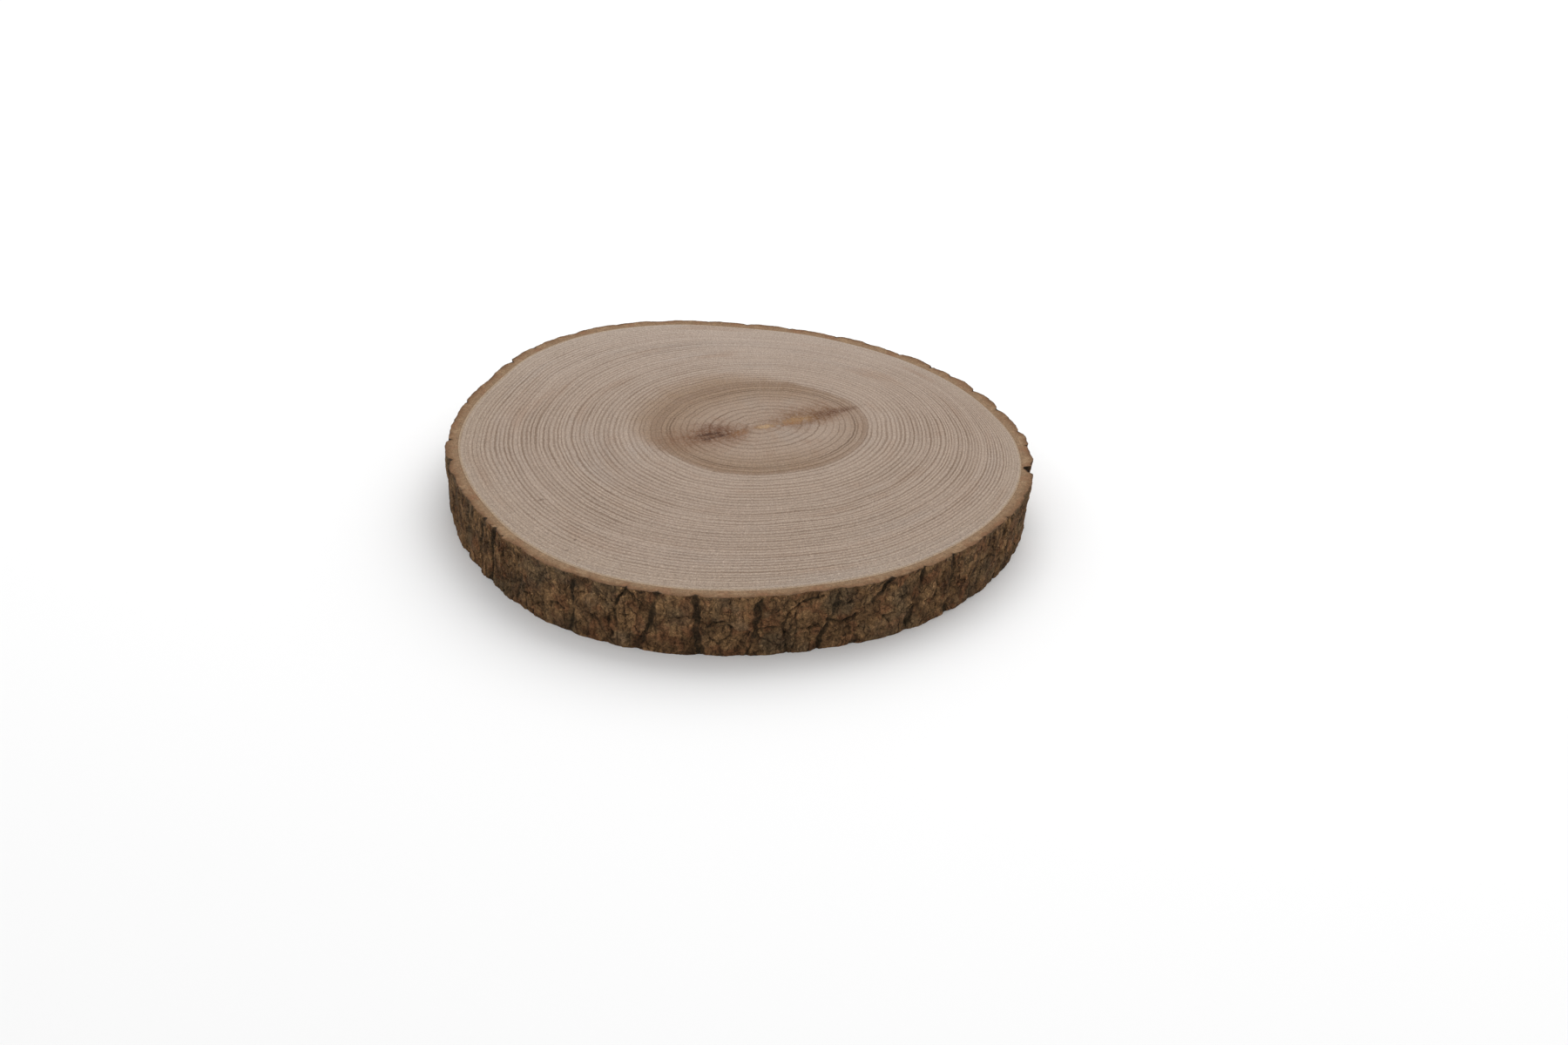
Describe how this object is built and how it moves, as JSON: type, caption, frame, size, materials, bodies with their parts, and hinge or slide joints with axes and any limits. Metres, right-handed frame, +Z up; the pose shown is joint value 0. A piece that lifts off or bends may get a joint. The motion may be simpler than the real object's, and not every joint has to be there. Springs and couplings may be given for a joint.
{
  "type": "wood slice",
  "caption": "Round slice sawn across a hardwood trunk, with flat cut faces, growth rings and fissured bark left on the edge.",
  "frame": {"origin": "middle of the slice's outline on the lower cut face, which it lies on", "axes": "+Z up, square to the cut faces; +Y towards the back, the side with the trunk's largest swelling; +X to the right as seen from the front"},
  "size_m": [0.3006, 0.313, 0.033],
  "materials": {
    "wood": "sawn and lightly sanded end grain, matt",
    "bark": "rough fissured bark, dry and matt"
  },
  "bodies": {
    "root": {"wood_slice": "wood"}
  },
  "joints": []
}
